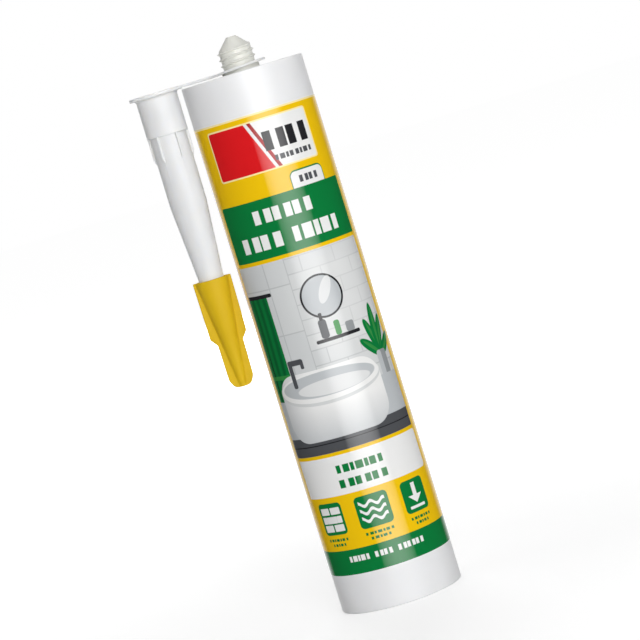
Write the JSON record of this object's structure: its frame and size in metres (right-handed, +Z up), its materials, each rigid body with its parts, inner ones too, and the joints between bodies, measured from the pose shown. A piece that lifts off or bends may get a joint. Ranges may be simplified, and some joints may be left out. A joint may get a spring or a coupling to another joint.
{
  "type": "sealant cartridge",
  "caption": "Round plastic caulk cartridge with printed film, push-in piston, sealed threaded neck, and a finned tapered nozzle with a winged cap stored hanging beside it.",
  "frame": {"origin": "on the tube's axis, in the plane of the open bottom rim that the cartridge stands on", "axes": "+Z up along the tube's axis towards the neck, -X towards the stored nozzle, -Y towards the front of the printed film"},
  "size_m": [0.0704, 0.0496, 0.2313],
  "materials": {
    "white_plastic": "gloss white polyethylene",
    "printed_film": "gloss printed film with fields of yellow, green, white and red",
    "piston_plastic": "plain moulded polyethylene",
    "sealant_paste": "smooth white paste",
    "natural_plastic": "satin undyed polyethylene",
    "yellow_plastic": "satin yellow polyethylene"
  },
  "bodies": {
    "barrel": {"cartridge_barrel": "white_plastic", "label_wrap": "printed_film", "sealant": "sealant_paste"},
    "piston": {"piston": "piston_plastic"},
    "nozzle": {"nozzle": "natural_plastic"},
    "cap": {"nozzle_cap": "yellow_plastic"}
  },
  "joints": [
    {"name": "piston_push", "type": "slide", "parent": "barrel", "child": "piston", "axis": [0, 0, 1], "range_m": [0, 0.1858], "deforming": ["sealant"]},
    {"name": "nozzle_swivel", "type": "hinge", "parent": "barrel", "child": "nozzle", "pos_m": [0, 0, 0.2193], "axis": [0, 0, 1], "continuous": true},
    {"name": "cap_pull", "type": "slide", "parent": "nozzle", "child": "cap", "axis": [-0.007, 0, -1], "range_m": [0, 0.045]}
  ]
}
